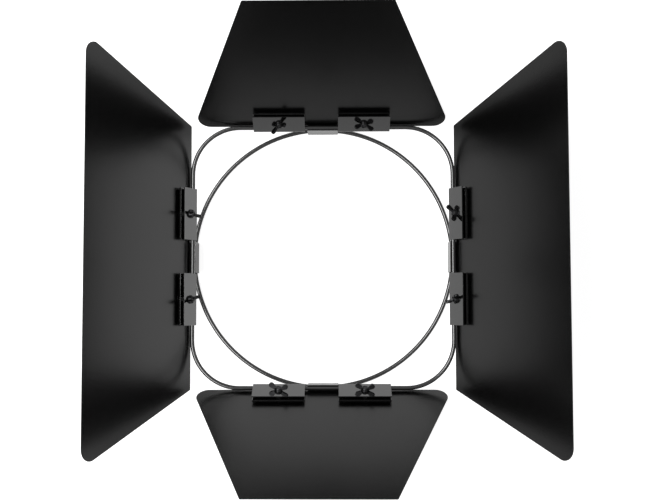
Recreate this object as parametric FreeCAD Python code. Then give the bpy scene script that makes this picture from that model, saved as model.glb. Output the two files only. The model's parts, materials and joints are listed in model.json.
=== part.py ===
import FreeCAD, Part
import math
import os

# Four-leaf barn door for a round stage lamp, in millimetres.
# Frame: +Z along the light beam, away from the lamp.  +Y is the top leaf's side and
# +X the right leaf's side, seen from the front.  The origin is the centre of the lamp
# ring's back, so the whole part lies at Z = 0 and above.

# Wires
wire_diameter = 5.2              # steel rod with its powder coat
ring_outer_diameter = 330.0      # fits a 330 mm accessory holder
frame_corner_radius = 58.7       # centre line of the square frame's bends
ring_to_frame = 25.0             # between the two wires' centre lines, along the beam

# Tie plates between the ring and the frame
tie_plate_width = 38.0
tie_plate_thickness = 1.5

# Weld beads that hold both wires to the tie plates
weld_end_gap = 8.0               # from each end of the tie plate
weld_height = 1.8                # bead height above the tie plate
weld_root = 0.6                  # bead starts this far from where wire and plate touch

# Leaves
leaf_thickness = 1.0
leaf_length = 202.3              # from the hinge edge to the outer edge
leaf_edge_overlap = 2.2          # how far the hinge edge passes the wire's centre line
end_leaf_inset = 1.3             # top and bottom leaves stop this far inside the side wires
end_leaf_taper = 76.1            # and narrow by this much at each end
end_leaf_hinge_corner = 15.0
end_leaf_outer_corner = 2.0
side_leaf_overrun = 2.8          # left and right leaves pass the end wires by this much
side_leaf_flare = 68.2           # and widen by this much at each end
side_leaf_hinge_corner = 1.5
side_leaf_outer_corner = 15.0

# Clamps: a plate hooked over the wire and a base strip welded to the leaf, held apart by
# a lock nut on the bolt
clamp_length = 64.0
clamp_to_tie_plate = 1.6         # along the wire
clamp_sheet = 1.5
clamp_reach = 23.75              # from the wire's centre line to the plate's outer edge
clamp_bend = 0.5                 # inside radius of the fold
clamp_hook_depth = 0.4           # the hook ends this far behind the wire's centre line
clamp_running_gap = 0.05         # between the wire and the flats it turns against
base_thickness = 1.2
base_setback = 1.75              # base strip short of the plate's outer edge
base_inset = 0.5                 # base strip short of the leaf's hinge edge

# M5 fasteners
bolt_diameter = 5.0
bolt_end_recess = 0.5            # below the top of the wing nut
bolt_head_diameter = 11.0
bolt_head_height = 2.5
bolt_from_wire = 10.8            # from the wire's centre line
bolt_hole_clearance = 0.25       # on the radius, in leaf, base and clamp plate
lock_nut_across_flats = 8.0

# Wing nuts
nut_base_diameter = 10.0
nut_top_diameter = 8.0
nut_height = 4.0
nut_bore_clearance = 0.05        # on the radius, a running fit on the bolt
nut_seat_gap = 0.1               # between the nut and the clamp plate
nut_top_chamfer = 0.5
wing_thickness = 2.0
wing_tip_radius = 3.1
wing_tip_offset = 8.7            # wing tip's centre from the bolt's axis
wing_tip_height = 6.2            # wing tip's centre above the nut's seat
wing_root_radius = 1.6
wing_root_offset = 3.2
wing_root_height = 1.9

# Each leaf as it stands: its turn about the beam, its tilt out of the frame's plane,
# how far it has slid along its wire, and the turn of its two wing nuts
leaf_stations = {
    "top": {"turn": 0.0, "tilt": 58.2, "slide": -1.1, "nuts": (42.0, -12.0)},
    "left": {"turn": 90.0, "tilt": 64.7, "slide": 0.2, "nuts": (111.0, 75.0)},
    "bottom": {"turn": 180.0, "tilt": 60.3, "slide": 1.2, "nuts": (-7.0, -14.0)},
    "right": {"turn": 270.0, "tilt": 59.4, "slide": -0.1, "nuts": (34.0, -67.0)},
}
clamp_names = {
    "top": ("left", "right"),
    "left": ("lower", "upper"),
    "bottom": ("right", "left"),
    "right": ("upper", "lower"),
}

# Sizes that follow
wire_radius = wire_diameter / 2
ring_centre_radius = ring_outer_diameter / 2 - wire_radius
ring_z = wire_radius
frame_z = ring_z + ring_to_frame
# The flat tie plates touch the round ring at their two ends
plate_face = math.sqrt((ring_centre_radius - wire_radius) ** 2 - (tie_plate_width / 2) ** 2)
frame_half = plate_face + wire_radius
tie_plate_depth = frame_z + wire_radius
weld_half_length = tie_plate_width / 2 - weld_end_gap

# Leaf widths and clamp places, along the wire
end_leaf_hinge_width = 2 * (frame_half - end_leaf_inset)
end_leaf_outer_width = end_leaf_hinge_width - 2 * end_leaf_taper
side_leaf_hinge_width = 2 * (frame_half + side_leaf_overrun)
side_leaf_outer_width = side_leaf_hinge_width + 2 * side_leaf_flare
clamp_centre = tie_plate_width / 2 + clamp_to_tie_plate + clamp_length / 2
clamp_places = (-clamp_centre, clamp_centre)

# Heights above the wire's centre line, along a leaf's normal
clamp_inside = wire_radius + clamp_running_gap
clamp_top = clamp_inside + clamp_sheet
base_top = -clamp_inside
leaf_front = base_top - base_thickness
leaf_back = leaf_front - leaf_thickness
nut_seat = clamp_top + nut_seat_gap
bolt_end = nut_seat + nut_height - bolt_end_recess
bolt_radius = bolt_diameter / 2
bolt_hole_radius = bolt_radius + bolt_hole_clearance

X_AXIS = FreeCAD.Vector(1, 0, 0)
Y_AXIS = FreeCAD.Vector(0, 1, 0)
Z_AXIS = FreeCAD.Vector(0, 0, 1)
CENTRE = FreeCAD.Vector(0, 0, 0)


def point(x, y, z=0.0):
    return FreeCAD.Vector(x, y, z)


def box(low, high):
    size = high - low
    return Part.makeBox(size.x, size.y, size.z, low)


def round_pin(radius, x, y, low, high):
    return Part.makeCylinder(radius, high - low, point(x, y, low), Z_AXIS)


def rounded_outline(corners, radii):
    """Closed wire through the corners, each rounded by its own radius."""
    starts = []
    ends = []
    arcs = []
    for index, corner in enumerate(corners):
        before = (corners[index - 1] - corner).normalize()
        after = (corners[(index + 1) % len(corners)] - corner).normalize()
        half_angle = before.getAngle(after) / 2
        reach = radii[index] / math.tan(half_angle)
        to_centre = (before + after).normalize()
        depth = radii[index] / math.sin(half_angle) - radii[index]
        starts.append(corner + before * reach)
        ends.append(corner + after * reach)
        arcs.append(Part.Arc(starts[-1], corner + to_centre * depth, ends[-1]).toShape())
    edges = []
    for index, arc in enumerate(arcs):
        edges.append(arc)
        edges.append(Part.LineSegment(ends[index], starts[(index + 1) % len(arcs)]).toShape())
    return Part.Wire(edges)


def edges_along_x(shape, y, z):
    """Edges parallel to X at the given Y and Z."""
    return [edge for edge in shape.Edges
            if max(edge.BoundBox.YLength, edge.BoundBox.ZLength) < 0.001
            and abs(edge.CenterOfMass.y - y) < 0.001 and abs(edge.CenterOfMass.z - z) < 0.001]


# ---- Mounting frame ----

def lamp_ring():
    ring = Part.makeTorus(ring_centre_radius, wire_radius)
    ring.translate(point(0, 0, ring_z))
    return ring


def leaf_frame():
    """One wire bent into a square with round corners."""
    side = frame_half
    square = [point(side, -side), point(side, side), point(-side, side), point(-side, -side)]
    path = rounded_outline(square, [frame_corner_radius] * 4)
    section_centre = point(side, 0)
    section = Part.Wire(Part.makeCircle(wire_radius, section_centre, Y_AXIS))
    frame = path.makePipeShell([section], True, True)
    frame.translate(point(0, 0, frame_z))
    return frame


def tie_plate():
    low = point(-tie_plate_width / 2, plate_face - tie_plate_thickness, 0)
    high = point(tie_plate_width / 2, plate_face, tie_plate_depth)
    return box(low, high)


def ring_weld():
    """Bead in the gap between the flat tie plate and the round ring."""
    low = point(-weld_half_length, plate_face, ring_z - wire_radius + weld_root)
    high = point(weld_half_length, plate_face + weld_height, ring_z + wire_radius)
    return box(low, high).cut(lamp_ring())


def frame_weld():
    """Fillet bead behind the frame's wire, where it lies along the tie plate."""
    low = point(-weld_half_length, plate_face, frame_z - wire_radius)
    high = point(weld_half_length, plate_face + weld_height, frame_z - weld_root)
    wire = Part.makeCylinder(wire_radius, tie_plate_width,
                             point(-tie_plate_width / 2, frame_half, frame_z), X_AXIS)
    return box(low, high).cut(wire)


# ---- One leaf and what is on it: X along the wire, Y outward along the leaf, Z its normal ----

def leaf_sheet(hinge_width, outer_width, hinge_corner, outer_corner):
    hinge_y = -leaf_edge_overlap
    outer_y = leaf_length - leaf_edge_overlap
    corners = [point(-hinge_width / 2, hinge_y), point(hinge_width / 2, hinge_y),
               point(outer_width / 2, outer_y), point(-outer_width / 2, outer_y)]
    radii = [hinge_corner, hinge_corner, outer_corner, outer_corner]
    outline = rounded_outline(corners, radii)
    outline.translate(point(0, 0, leaf_back))
    sheet = Part.Face(outline).extrude(point(0, 0, leaf_thickness))
    for x in clamp_places:
        sheet = sheet.cut(round_pin(bolt_hole_radius, x, bolt_from_wire, leaf_back, leaf_front))
    return sheet


def end_leaf():
    return leaf_sheet(end_leaf_hinge_width, end_leaf_outer_width,
                      end_leaf_hinge_corner, end_leaf_outer_corner)


def side_leaf():
    return leaf_sheet(side_leaf_hinge_width, side_leaf_outer_width,
                      side_leaf_hinge_corner, side_leaf_outer_corner)


def clamp_base():
    low = point(-clamp_length / 2, base_inset - leaf_edge_overlap, leaf_front)
    high = point(clamp_length / 2, clamp_reach - base_setback, base_top)
    strip = box(low, high)
    return strip.cut(round_pin(bolt_hole_radius, 0, bolt_from_wire, leaf_front, base_top))


def clamp_plate():
    """Hook round the wire's inner side and a flat face over it, out to a free edge."""
    inner_y = -clamp_inside
    hook_y = inner_y - clamp_sheet
    section = [(hook_y, -clamp_hook_depth), (hook_y, clamp_top), (clamp_reach, clamp_top),
               (clamp_reach, clamp_inside), (inner_y, clamp_inside),
               (inner_y, -clamp_hook_depth)]
    corners = [point(-clamp_length / 2, y, z) for y, z in section]
    plate = Part.Face(Part.makePolygon(corners + corners[:1])).extrude(point(clamp_length, 0, 0))
    plate = plate.makeFillet(clamp_bend + clamp_sheet, edges_along_x(plate, hook_y, clamp_top))
    plate = plate.makeFillet(clamp_bend, edges_along_x(plate, inner_y, clamp_inside))
    return plate.cut(round_pin(bolt_hole_radius, 0, bolt_from_wire, clamp_inside, clamp_top))


def clamp_bolt():
    """Plain shank through leaf, base and clamp, with a low domed head behind the leaf."""
    shank = round_pin(bolt_radius, 0, bolt_from_wire, leaf_back, bolt_end)
    head_radius = bolt_head_diameter / 2
    dome_radius = (head_radius ** 2 + bolt_head_height ** 2) / (2 * bolt_head_height)
    dome_centre = point(0, bolt_from_wire, leaf_back - bolt_head_height + dome_radius)
    dome = Part.makeSphere(dome_radius, dome_centre)
    head = dome.common(round_pin(head_radius, 0, bolt_from_wire,
                                 leaf_back - bolt_head_height, leaf_back))
    return shank.fuse(head).removeSplitter()


def lock_nut():
    """Hexagon nut between base and clamp plate: holds the bolt, and keeps them apart."""
    corner_radius = lock_nut_across_flats / math.sqrt(3)
    corners = []
    for step in range(7):
        angle = math.radians(60 * step)
        corners.append(point(corner_radius * math.cos(angle),
                             bolt_from_wire + corner_radius * math.sin(angle), base_top))
    hexagon = Part.Face(Part.makePolygon(corners)).extrude(point(0, 0, clamp_inside - base_top))
    bore_radius = bolt_radius + nut_bore_clearance
    return hexagon.cut(round_pin(bore_radius, 0, bolt_from_wire, base_top, clamp_inside))


def wing(side):
    """One wing: a round root and a larger round tip, joined by their common tangents."""
    root = point(side * wing_root_offset, 0, wing_root_height)
    tip = point(side * wing_tip_offset, 0, wing_tip_height)
    along = (tip - root).normalize()
    across = along.cross(Y_AXIS)
    lean = math.asin((wing_tip_radius - wing_root_radius) / root.distanceToPoint(tip))
    corners = []
    for sign in (1, -1):
        toward = across * (sign * math.cos(lean)) - along * math.sin(lean)
        pair = [root + toward * wing_root_radius, tip + toward * wing_tip_radius]
        corners += pair if sign == 1 else pair[::-1]
    web = Part.Face(Part.makePolygon(corners + corners[:1])).extrude(Y_AXIS * wing_thickness)
    root_disc = Part.makeCylinder(wing_root_radius, wing_thickness, root, Y_AXIS)
    tip_disc = Part.makeCylinder(wing_tip_radius, wing_thickness, tip, Y_AXIS)
    blade = web.multiFuse([root_disc, tip_disc])
    blade.translate(Y_AXIS * (-wing_thickness / 2))
    return blade


def wing_nut(turn):
    boss = Part.makeCone(nut_base_diameter / 2, nut_top_diameter / 2, nut_height)
    top_rim = [edge for edge in boss.Edges
               if edge.BoundBox.ZLength < 0.001 and edge.CenterOfMass.z > nut_height / 2]
    boss = boss.makeChamfer(nut_top_chamfer, top_rim)
    nut = boss.multiFuse([wing(1), wing(-1)]).removeSplitter()
    bore_height = wing_tip_height + wing_tip_radius
    nut = nut.cut(round_pin(bolt_radius + nut_bore_clearance, 0, 0, 0, bore_height))
    nut.rotate(CENTRE, Z_AXIS, turn)
    nut.translate(point(0, bolt_from_wire, nut_seat))
    return nut


# ---- Putting it together ----

def stand(shape, station):
    """From a leaf's own frame to where that leaf stands on the frame."""
    placed = shape.copy()
    placed.rotate(CENTRE, X_AXIS, station["tilt"])
    placed.translate(point(station["slide"], frame_half, frame_z))
    placed.rotate(CENTRE, Z_AXIS, station["turn"])
    return placed


def on_clamp(shape, place, station):
    moved = shape.copy()
    moved.translate(point(place, 0, 0))
    return stand(moved, station)


def turned_copies(shape):
    return [shape.copy().rotate(CENTRE, Z_AXIS, station["turn"])
            for station in leaf_stations.values()]


nodes = {"lamp_ring": lamp_ring(), "leaf_frame": leaf_frame()}

for name, station in leaf_stations.items():
    nodes[name + "_tie_plate"] = tie_plate().rotate(CENTRE, Z_AXIS, station["turn"])
nodes["ring_welds"] = Part.makeCompound(turned_copies(ring_weld()))
nodes["frame_welds"] = Part.makeCompound(turned_copies(frame_weld()))

for name, station in leaf_stations.items():
    sheet = end_leaf() if name in ("top", "bottom") else side_leaf()
    nodes[name + "_leaf"] = stand(sheet, station)
    for place, side, nut_turn in zip(clamp_places, clamp_names[name], station["nuts"]):
        label = name + "_" + side + "_"
        nodes[label + "clamp_base"] = on_clamp(clamp_base(), place, station)
        nodes[label + "clamp_plate"] = on_clamp(clamp_plate(), place, station)
        nodes[label + "clamp_bolt"] = on_clamp(clamp_bolt(), place, station)
        nodes[label + "lock_nut"] = on_clamp(lock_nut(), place, station)
        nodes[label + "wing_nut"] = on_clamp(wing_nut(nut_turn), place, station)

os.makedirs("parts", exist_ok=True)
for node, shape in nodes.items():
    shape.exportStep("parts/" + node + ".step")
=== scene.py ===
import json
import math

import bpy
from mathutils import Matrix, Vector


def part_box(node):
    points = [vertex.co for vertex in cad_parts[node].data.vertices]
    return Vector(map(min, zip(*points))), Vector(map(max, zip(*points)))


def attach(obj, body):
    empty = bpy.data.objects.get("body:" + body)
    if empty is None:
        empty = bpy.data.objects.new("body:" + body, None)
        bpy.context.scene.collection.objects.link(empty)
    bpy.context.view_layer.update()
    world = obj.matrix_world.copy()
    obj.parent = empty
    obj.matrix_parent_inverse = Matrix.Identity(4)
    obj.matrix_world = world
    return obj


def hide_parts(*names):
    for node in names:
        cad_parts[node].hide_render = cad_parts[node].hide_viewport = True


# Four-leaf barn door for a round stage lamp, lying on its back on a white table.
# Metres: +X right, +Y towards the top leaf, +Z along the beam, zero at the ring's back.

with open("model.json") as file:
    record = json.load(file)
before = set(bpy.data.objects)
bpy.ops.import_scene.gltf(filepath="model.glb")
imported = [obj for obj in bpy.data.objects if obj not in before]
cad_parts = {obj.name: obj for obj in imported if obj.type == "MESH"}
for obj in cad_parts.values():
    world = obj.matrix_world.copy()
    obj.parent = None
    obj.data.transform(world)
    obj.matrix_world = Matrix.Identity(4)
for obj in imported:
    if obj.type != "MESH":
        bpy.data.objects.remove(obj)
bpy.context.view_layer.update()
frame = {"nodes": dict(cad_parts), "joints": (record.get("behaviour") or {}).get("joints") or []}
nodes = frame["nodes"]
scene = bpy.context.scene

MM = 0.001

# ---- Places, from the solids ----

def centre_height(node):
    low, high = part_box(node)
    return (low.z + high.z) / 2


RING_Z = centre_height("lamp_ring")
FRAME_Z = centre_height("leaf_frame")
PLATE_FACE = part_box("top_tie_plate")[1].y        # from the beam's axis to a tie plate's outside
joints = {joint["name"]: joint for joint in frame["joints"]}

# Each side's turn about the beam, and how far each clamp's wing nut is turned, in degrees
SIDES = {
    "top": {"turn": 0.0, "nuts": {"left": 42.0, "right": -12.0}},
    "left": {"turn": 90.0, "nuts": {"lower": 111.0, "upper": 75.0}},
    "bottom": {"turn": 180.0, "nuts": {"right": -7.0, "left": -14.0}},
    "right": {"turn": 270.0, "nuts": {"upper": 34.0, "lower": -67.0}},
}

# ---- Rounded edges ----

EDGE_STEPS = 3
MERGE_DISTANCE = 0.002 * MM
FLAT_ANGLE = math.radians(0.6)       # faces closer in angle than this are one flat
CORNER_ANGLE = math.radians(50)      # edges sharper than this are rounded
SHADING_ANGLE = math.radians(35)
SHEET_EDGE = 0.3 * MM                # leaves and tie plates


# ---- Helpers ----

def only(piece):
    """Selects the piece alone and makes it active."""
    bpy.ops.object.select_all(action="DESELECT")
    piece.select_set(True)
    bpy.context.view_layer.objects.active = piece


def apply_modifiers(piece):
    only(piece)
    for modifier in list(piece.modifiers):
        bpy.ops.object.modifier_apply(modifier=modifier.name)


def joined(pieces):
    bpy.ops.object.select_all(action="DESELECT")
    for piece in pieces:
        piece.select_set(True)
    bpy.context.view_layer.objects.active = pieces[0]
    bpy.ops.object.join()
    return bpy.context.object


def name_piece(piece, name):
    """Names the piece and its mesh."""
    piece.name = name
    piece.data.name = name


def select_where(piece, kind, test):
    """In edit mode, selects the vertices or edges that pass the test."""
    bpy.ops.mesh.select_all(action="DESELECT")
    bpy.ops.mesh.select_mode(type=kind)
    bpy.ops.object.mode_set(mode="OBJECT")
    mesh = piece.data
    for item in {"VERT": mesh.vertices, "EDGE": mesh.edges}[kind]:
        item.select = bool(test(mesh, item))
    bpy.ops.object.mode_set(mode="EDIT")


def dress(piece, material, slot, body, *stands_for):
    """Gives a piece its finish and its body, and shows it in place of a solid."""
    piece.data.materials.clear()
    piece.data.materials.append(material)
    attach(piece, body)
    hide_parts(*stands_for)


def softened(node, name, radius):
    """A copy of a solid's mesh, its flats joined up and its edges rounded."""
    piece = bpy.data.objects.new(name, nodes[node].data.copy())
    scene.collection.objects.link(piece)
    only(piece)
    bpy.ops.object.mode_set(mode="EDIT")
    bpy.ops.mesh.customdata_custom_splitnormals_clear()
    bpy.ops.mesh.select_all(action="SELECT")
    bpy.ops.mesh.remove_doubles(threshold=MERGE_DISTANCE)
    bpy.ops.mesh.select_all(action="SELECT")
    bpy.ops.mesh.dissolve_limited(angle_limit=FLAT_ANGLE)
    bpy.ops.object.mode_set(mode="OBJECT")
    bevel = piece.modifiers.new("edge radius", "BEVEL")
    bevel.width = radius
    bevel.segments = EDGE_STEPS
    bevel.limit_method = "ANGLE"
    bevel.angle_limit = CORNER_ANGLE
    bevel.harden_normals = False
    apply_modifiers(piece)
    bpy.ops.object.shade_smooth_by_angle(angle=SHADING_ANGLE)
    weighted = piece.modifiers.new("flat faces stay flat", "WEIGHTED_NORMAL")
    weighted.keep_sharp = True
    weighted.weight = 100
    apply_modifiers(piece)
    return piece


# ---- Finishes ----

NOISE_START, NOISE_END = 0.3, 0.7    # where most of a noise lies
MOTTLE_SIZE = 14 * MM                # patches of colour
MOTTLE_START, MOTTLE_END = 0.35, 0.7
GLOSS_SIZE = 1.1 * MM                # patches of gloss


def node_tree(name):
    material = bpy.data.materials.new(name)
    material.use_nodes = True
    tree = material.node_tree
    return material, tree.nodes, tree.links, tree.nodes["Principled BSDF"]


def noise(tree_nodes, links, coordinates, grain, detail):
    """Noise whose lumps are about one grain across, in metres."""
    node = tree_nodes.new("ShaderNodeTexNoise")
    node.inputs["Scale"].default_value = 1.0 / grain
    node.inputs["Detail"].default_value = detail
    node.inputs["Roughness"].default_value = 0.5
    links.new(coordinates, node.inputs["Vector"])
    return node.outputs["Fac"]


def spread(tree_nodes, links, factor, low, high, start=NOISE_START, end=NOISE_END):
    """Draws out the part of the factor between start and end, so that it runs low to high."""
    node = tree_nodes.new("ShaderNodeMapRange")
    node.inputs["From Min"].default_value = start
    node.inputs["From Max"].default_value = end
    node.inputs["To Min"].default_value = low
    node.inputs["To Max"].default_value = high
    links.new(factor, node.inputs["Value"])
    return node.outputs["Result"]


def bump(tree_nodes, links, height, depth, under=None):
    node = tree_nodes.new("ShaderNodeBump")
    node.inputs["Strength"].default_value = 1.0
    node.inputs["Distance"].default_value = depth
    links.new(height, node.inputs["Height"])
    if under is not None:
        links.new(under, node.inputs["Normal"])
    return node.outputs["Normal"]


def coat(name, dark, light, roughness, ior, peel, grain, metallic=0.0):
    """Paint or plating, mottled from dark to light, with its roughness between two values.

    The peel is its broad waves and the grain its fine ones, each a size and a depth.
    """
    material, made, links, shader = node_tree(name)
    place = made.new("ShaderNodeTexCoord").outputs["Object"]
    mottle = noise(made, links, place, MOTTLE_SIZE, detail=4.0)
    colour = made.new("ShaderNodeValToRGB")
    first, last = colour.color_ramp.elements
    first.position, first.color = MOTTLE_START, (*dark, 1)
    last.position, last.color = MOTTLE_END, (*light, 1)
    links.new(mottle, colour.inputs["Fac"])
    links.new(colour.outputs["Color"], shader.inputs["Base Color"])
    gloss = noise(made, links, place, GLOSS_SIZE, detail=2.0)
    links.new(spread(made, links, gloss, *roughness), shader.inputs["Roughness"])
    waves = bump(made, links, noise(made, links, place, peel[0], detail=1.5), peel[1])
    fine = bump(made, links, noise(made, links, place, grain[0], detail=2.5), grain[1], waves)
    links.new(fine, shader.inputs["Normal"])
    shader.inputs["IOR"].default_value = ior
    shader.inputs["Metallic"].default_value = metallic
    return material


leaf_coat = coat(
    "satin_black_powder_coat", dark=(0.0003, 0.0003, 0.0003), light=(0.0006, 0.0006, 0.0006),
    roughness=(0.22, 0.26), ior=1.55,
    peel=(3.0 * MM, 0.020 * MM), grain=(1.2 * MM, 0.020 * MM))
clamp_coat = coat(
    "smooth_black_enamel", dark=(0.001, 0.001, 0.001), light=(0.002, 0.002, 0.002),
    roughness=(0.10, 0.15), ior=2.1,
    peel=(4.0 * MM, 0.006 * MM), grain=(0.8 * MM, 0.002 * MM))
wire_coat = coat(
    "gloss_black_wire_enamel", dark=(0.004, 0.004, 0.004), light=(0.008, 0.008, 0.008),
    roughness=(0.10, 0.15), ior=2.0,
    peel=(3.0 * MM, 0.010 * MM), grain=(0.9 * MM, 0.004 * MM))
tie_plate_coat = coat(
    "gloss_black_plate_enamel", dark=(0.004, 0.004, 0.004), light=(0.008, 0.008, 0.008),
    roughness=(0.14, 0.22), ior=1.9,
    peel=(3.5 * MM, 0.010 * MM), grain=(0.9 * MM, 0.004 * MM))
nut_finish = coat(
    "black_zinc_casting", dark=(0.03, 0.03, 0.031), light=(0.06, 0.06, 0.062),
    roughness=(0.26, 0.42), ior=1.5,
    peel=(1.6 * MM, 0.012 * MM), grain=(0.5 * MM, 0.006 * MM), metallic=1.0)
bolt_finish = coat(
    "black_zinc_steel", dark=(0.03, 0.03, 0.031), light=(0.06, 0.06, 0.062),
    roughness=(0.22, 0.36), ior=1.5,
    peel=(2.0 * MM, 0.004 * MM), grain=(0.5 * MM, 0.002 * MM), metallic=1.0)
lock_nut_finish = coat(
    "dull_zinc_steel", dark=(0.16, 0.16, 0.164), light=(0.26, 0.26, 0.265),
    roughness=(0.24, 0.38), ior=1.5,
    peel=(2.0 * MM, 0.004 * MM), grain=(0.5 * MM, 0.002 * MM), metallic=1.0)


# ---- Mounting frame ----

for wire in ("lamp_ring", "leaf_frame"):
    for material_slot in nodes[wire].material_slots:
        material_slot.link = "OBJECT"
        material_slot.material = wire_coat
for side in SIDES:
    tie_plate = softened(side + "_tie_plate", side + "_tie_plate_rounded", SHEET_EDGE)
    dress(tie_plate, tie_plate_coat, "tie_plate_coat", "mounting_frame", side + "_tie_plate")

BEAD_LENGTH = 22.0 * MM
RIPPLE_PITCH = 1.4 * MM
RIPPLE_SWELL = 1.13                  # a ripple's crest, as a share of the bead's radius
BEAD_END = 0.45                      # a bead's end, likewise


def weld_bead(radius, y, z):
    """A rippled bead along X, as a row of overlapping puddles leaves it."""
    rings = 2 * round(BEAD_LENGTH / RIPPLE_PITCH) + 1
    bpy.ops.mesh.primitive_cylinder_add(vertices=20, radius=radius, depth=BEAD_LENGTH,
                                        location=(0, 0, 0), rotation=(0, math.pi / 2, 0))
    bead = bpy.context.object
    bpy.ops.object.transform_apply(rotation=True)
    bpy.ops.object.mode_set(mode="EDIT")
    select_where(bead, "EDGE", lambda mesh, edge: abs(
        mesh.vertices[edge.vertices[0]].co.x - mesh.vertices[edge.vertices[1]].co.x) > radius)
    bpy.ops.mesh.subdivide(number_cuts=rings)
    step = BEAD_LENGTH / (rings + 1)
    select_where(bead, "VERT", lambda mesh, vertex: round(
        (vertex.co.x + BEAD_LENGTH / 2) / step) % 2 == 1)
    bpy.ops.transform.resize(value=(1, RIPPLE_SWELL, RIPPLE_SWELL))
    select_where(bead, "VERT",
                 lambda mesh, vertex: abs(vertex.co.x) > BEAD_LENGTH / 2 - step / 2)
    bpy.ops.transform.resize(value=(1, BEAD_END, BEAD_END))
    bpy.ops.object.mode_set(mode="OBJECT")
    smooth = bead.modifiers.new("melted", "SUBSURF")
    smooth.levels = 1
    smooth.render_levels = 1
    apply_modifiers(bead)
    bpy.ops.object.shade_smooth()
    bead.location = (0, y, z)
    bpy.ops.object.transform_apply(location=True)
    return bead


def weld_beads(name, node, radius, y, z):
    """Four beads as one piece, one on each tie plate."""
    beads = []
    for station in SIDES.values():
        bead = weld_bead(radius, y, z)
        bead.data.transform(Matrix.Rotation(math.radians(station["turn"]), 4, "Z"))
        beads.append(bead)
    piece = joined(beads)
    name_piece(piece, name)
    dress(piece, wire_coat, "wire_coat", "mounting_frame", node)


weld_beads("frame_weld_beads", "frame_welds",
           radius=1.05 * MM, y=PLATE_FACE + 0.65 * MM, z=FRAME_Z - 1.75 * MM)
weld_beads("ring_weld_beads", "ring_welds",
           radius=1.25 * MM, y=PLATE_FACE + 0.55 * MM, z=RING_Z + 0.2 * MM)


# ---- Wing nuts ----

# Radii of the boss below and above, its bore and its countersink; the wings' thickness; and
# the round root and tip of a wing, each with how far out and up its centre is.
NUT = {
    "base": 5.0 * MM, "top": 4.0 * MM, "height": 4.0 * MM, "chamfer": 0.5 * MM,
    "bore": 2.55 * MM, "countersink": 3.0 * MM,
    "wing": 2.6 * MM, "tip": 3.3 * MM, "tip_out": 8.7 * MM, "tip_up": 6.2 * MM,
    "root": 1.6 * MM, "root_out": 3.2 * MM, "root_up": 1.9 * MM,
}
CASTING_VOXEL = 0.24 * MM
CORNER_MELT = 0.5
CORNER_MELT_ROUNDS = 4
BORE_CUTTER = 20 * MM                # long enough to pass right through
SINK_CUTTER_INSIDE = 0.2 * MM        # how far the countersink's cone starts inside the bore
SINK_CUTTER_ABOVE = 1.0 * MM         # how far it goes on past the boss's top
NUT_SHADING_ANGLE = math.radians(40)


def wing(direction):
    """A round root and a larger round tip, drawn together into one paddle."""
    discs = []
    for radius, out, up in ((NUT["root"], NUT["root_out"], NUT["root_up"]),
                            (NUT["tip"], NUT["tip_out"], NUT["tip_up"])):
        bpy.ops.mesh.primitive_cylinder_add(vertices=48, radius=radius, depth=NUT["wing"],
                                            location=(direction * out, 0, up),
                                            rotation=(math.pi / 2, 0, 0))
        discs.append(bpy.context.object)
    paddle = joined(discs)
    bpy.ops.object.mode_set(mode="EDIT")
    bpy.ops.mesh.select_all(action="SELECT")
    bpy.ops.mesh.convex_hull()
    bpy.ops.object.mode_set(mode="OBJECT")
    return paddle


def boss():
    """The nut's tapered middle, its top edge chamfered."""
    bpy.ops.mesh.primitive_cone_add(vertices=64, radius1=NUT["base"], radius2=NUT["top"],
                                    depth=NUT["height"], location=(0, 0, NUT["height"] / 2))
    cone = bpy.context.object
    bpy.ops.object.transform_apply(location=True)
    bpy.ops.object.mode_set(mode="EDIT")
    select_where(cone, "EDGE", lambda mesh, edge: all(
        mesh.vertices[v].co.z > NUT["height"] - 0.01 * MM for v in edge.vertices))
    bpy.ops.mesh.bevel(offset=NUT["chamfer"], segments=2, affect="EDGES")
    bpy.ops.object.mode_set(mode="OBJECT")
    return cone


def bore_cutters():
    """A rod for the bore and a cone of 45 degrees for its countersink."""
    bpy.ops.mesh.primitive_cylinder_add(vertices=48, radius=NUT["bore"], depth=BORE_CUTTER,
                                        location=(0, 0, BORE_CUTTER / 4))
    rod = bpy.context.object
    sink = NUT["countersink"] - NUT["bore"]
    lap = SINK_CUTTER_INSIDE + SINK_CUTTER_ABOVE
    bpy.ops.mesh.primitive_cone_add(vertices=48, radius1=NUT["bore"] - SINK_CUTTER_INSIDE,
                                    radius2=NUT["countersink"] + SINK_CUTTER_ABOVE,
                                    depth=sink + lap,
                                    location=(0, 0, NUT["height"] + lap / 2 - sink / 2))
    return rod, bpy.context.object


def cast_wing_nut():
    nut = joined([boss(), wing(1), wing(-1)])
    bpy.ops.object.transform_apply(location=True, rotation=True, scale=True)
    skin = nut.modifiers.new("one casting", "REMESH")
    skin.mode = "VOXEL"
    skin.voxel_size = CASTING_VOXEL
    melt = nut.modifiers.new("cast corners", "SMOOTH")
    melt.factor = CORNER_MELT
    melt.iterations = CORNER_MELT_ROUNDS
    apply_modifiers(nut)
    cutters = bore_cutters()
    for cutter in cutters:
        bore = nut.modifiers.new("bore", "BOOLEAN")
        bore.operation = "DIFFERENCE"
        bore.solver = "EXACT"
        bore.object = cutter
    apply_modifiers(nut)
    for cutter in cutters:
        bpy.data.objects.remove(cutter)
    only(nut)
    bpy.ops.object.shade_smooth_by_angle(angle=NUT_SHADING_ANGLE)
    return nut


nut_pattern = cast_wing_nut()


# ---- Leaves and clamps ----

# Each clamp's solids, with the name, edge radius, finish and slot of the piece shown for each
CLAMP_PIECES = (
    ("clamp_base", "base_strip", 0.25 * MM, clamp_coat, "clamp_coat"),
    ("clamp_plate", "hooked_clamp", 0.2 * MM, clamp_coat, "clamp_coat"),
    ("clamp_bolt", "bolt", 0.35 * MM, bolt_finish, "bolt_black"),
    ("lock_nut", "hexagon_nut", 0.3 * MM, lock_nut_finish, "bolt_black"),
)


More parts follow.
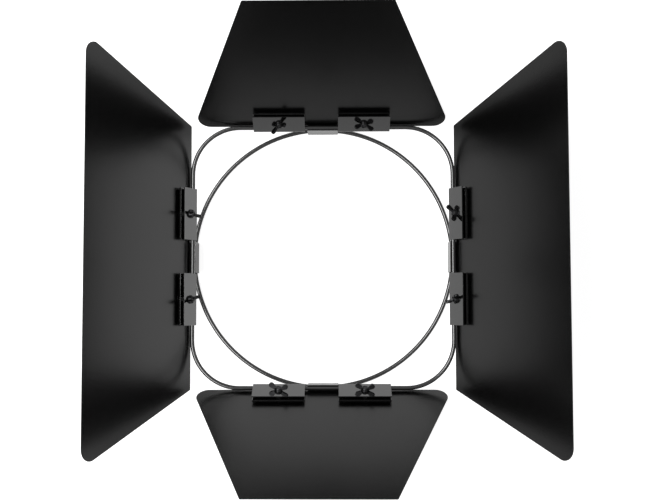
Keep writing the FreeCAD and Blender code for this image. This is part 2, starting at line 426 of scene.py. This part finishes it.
def nut_place(side, label, turned):
    """A wing nut's seat: Z along its bolt and X along the leaf's wire, then turned on it."""
    bolt = joints[label + "nut_turn"]
    along_wire = Vector(joints[side + "_leaf_hinge"]["axis"])
    along_bolt = Vector(bolt["axis"])
    outward = along_bolt.cross(along_wire)
    axes = Matrix((along_wire, outward, along_bolt)).transposed().to_4x4()
    return (Matrix.Translation(bolt["pos_m"]) @ axes
            @ Matrix.Rotation(math.radians(turned), 4, "Z"))


for side, station in SIDES.items():
    body = side + "_leaf_assembly"
    leaf = softened(side + "_leaf", side + "_leaf_sheet", SHEET_EDGE)
    dress(leaf, leaf_coat, "leaf_coat", body, side + "_leaf")
    for position, turned in station["nuts"].items():
        label = side + "_" + position + "_"
        for node, name, radius, finish, slot in CLAMP_PIECES:
            piece = softened(label + node, label + name, radius)
            dress(piece, finish, slot, body, label + node)
        nut = nut_pattern.copy()
        nut.data = nut_pattern.data.copy()
        scene.collection.objects.link(nut)
        nut.data.transform(nut_place(side, label, turned))
        name_piece(nut, label + "cast_wing_nut")
        dress(nut, nut_finish, "nut_black", label + "nut", label + "wing_nut")

bpy.data.objects.remove(nut_pattern)


# ---- Table ----

TABLE_SIZE = 9.0
TABLE_DROP = 0.3 * MM                # keeps its face clear of the part's back
TABLE_WHITE = 0.82
TABLE_ROUGHNESS = 0.9
TABLE_GLOW = 0.85                    # as the camera sees it
MIRRORED_GLOW = 0.25                 # as paint and metal mirror it
GRAZING_BLEND = 0.5
DIMMING_START, DIMMING_END = 0.56, 0.93


def combined(tree_nodes, links, operation, *values):
    """The values added or multiplied one after another, and kept between 0 and 1."""
    total = values[0]
    for value in values[1:]:
        node = tree_nodes.new("ShaderNodeMath")
        node.operation = operation
        node.use_clamp = True
        links.new(total, node.inputs[0])
        links.new(value, node.inputs[1])
        total = node.outputs["Value"]
    return total


def mirrored_rays(tree_nodes, links):
    """1 for glossy and transmission rays: what metal and paint show of their surroundings."""
    rays = tree_nodes.new("ShaderNodeLightPath")
    return combined(tree_nodes, links, "ADD", rays.outputs["Is Glossy Ray"],
                    rays.outputs["Is Transmission Ray"])


def camera_rays(tree_nodes):
    return tree_nodes.new("ShaderNodeLightPath").outputs["Is Camera Ray"]


bpy.ops.mesh.primitive_plane_add(size=TABLE_SIZE, location=(0, 0, -TABLE_DROP))
floor = bpy.context.object
floor.name = "white_table"
white, made, links, shader = node_tree("white_table_top")
shader.inputs["Base Color"].default_value = (TABLE_WHITE, TABLE_WHITE, TABLE_WHITE, 1)
shader.inputs["Roughness"].default_value = TABLE_ROUGHNESS
shader.inputs["Specular IOR Level"].default_value = 0.0
shader.inputs["Emission Color"].default_value = (1, 1, 1, 1)
glow = combined(made, links, "ADD",
                spread(made, links, camera_rays(made), 0.0, TABLE_GLOW, 0.0, 1.0),
                spread(made, links, mirrored_rays(made, links), 0.0, MIRRORED_GLOW, 0.0, 1.0))
links.new(glow, shader.inputs["Emission Strength"])
# Painted shade: in mirrors the table is darkened where it is met along its surface rather than
# from above
grazing = made.new("ShaderNodeLayerWeight")
grazing.inputs["Blend"].default_value = GRAZING_BLEND
dimming = combined(made, links, "MULTIPLY", mirrored_rays(made, links),
                   spread(made, links, grazing.outputs["Facing"], 0.0, 1.0,
                          DIMMING_START, DIMMING_END))
# a black emission, mixed over the table in mirrors as painted shade
dark = made.new("ShaderNodeEmission")
dark.inputs["Strength"].default_value = 0.0
dimmed = made.new("ShaderNodeMixShader")
links.new(dimming, dimmed.inputs["Fac"])
links.new(shader.outputs["BSDF"], dimmed.inputs[1])
links.new(dark.outputs["Emission"], dimmed.inputs[2])
links.new(dimmed.outputs["Shader"], made["Material Output"].inputs["Surface"])
floor.data.materials.append(white)


# ---- Studio ----

WORLD_LIGHT = 0.25                   # what falls on the part
WALL_GLOW = 0.45
WALL_START, WALL_END = 0.1, 0.6      # heights over which the walls brighten, 1 being overhead
OVERHEAD_SHARE = 0.2                 # how much of the walls' glow is left overhead
OVERHEAD_START, OVERHEAD_END = 0.8, 0.98

world = bpy.data.worlds.new("white_studio")
scene.world = world
world.use_nodes = True
made, links = world.node_tree.nodes, world.node_tree.links
background = made["Background"]
background.inputs["Color"].default_value = (1, 1, 1, 1)
# In mirrors the studio's walls are dim along the horizon and straight above
direction = made.new("ShaderNodeSeparateXYZ")
links.new(made.new("ShaderNodeTexCoord").outputs["Generated"], direction.inputs["Vector"])
height = direction.outputs["Z"]
walls = combined(made, links, "MULTIPLY", mirrored_rays(made, links),
                 spread(made, links, height, 0.0, WALL_GLOW, WALL_START, WALL_END),
                 spread(made, links, height, 1.0, OVERHEAD_SHARE,
                        OVERHEAD_START, OVERHEAD_END))
seen = combined(made, links, "ADD", camera_rays(made), walls)
links.new(spread(made, links, seen, WORLD_LIGHT, 1.0, 0.0, 1.0),
          background.inputs["Strength"])

# ---- Lamp ----

LAMP_PLACE = (-1.15, 0.0, 2.5)
LAMP_AIM = (0.0, 0.0, 0.05)
LAMP_WIDTH = 2.4
LAMP_HEIGHT = 1.1
LAMP_POWER = 60.0

lamp_data = bpy.data.lights.new("left_softbox", "AREA")
lamp_data.shape = "RECTANGLE"
lamp_data.size = LAMP_WIDTH
lamp_data.size_y = LAMP_HEIGHT
lamp_data.energy = LAMP_POWER
lamp = bpy.data.objects.new("left_softbox", lamp_data)
scene.collection.objects.link(lamp)
lamp.location = LAMP_PLACE
aim = Vector(LAMP_AIM) - Vector(LAMP_PLACE)
lamp.rotation_euler = aim.to_track_quat("-Z", "Y").to_euler()
lamp.visible_camera = False

# ---- Camera ----

SENSOR_WIDTH = 36.0                  # millimetres, as is the lens
LENS = 55.05
CAMERA_PLACE = (0.024915, -0.066201, 1.263224)
CAMERA_TURN = (3.456, 0.915, -0.109)

camera_data = bpy.data.cameras.new("camera")
camera_data.sensor_width = SENSOR_WIDTH
camera_data.lens = LENS
camera = bpy.data.objects.new("camera", camera_data)
scene.collection.objects.link(camera)
camera.location = CAMERA_PLACE
camera.rotation_euler = [math.radians(angle) for angle in CAMERA_TURN]
scene.camera = camera
scene.view_settings.view_transform = "Standard"
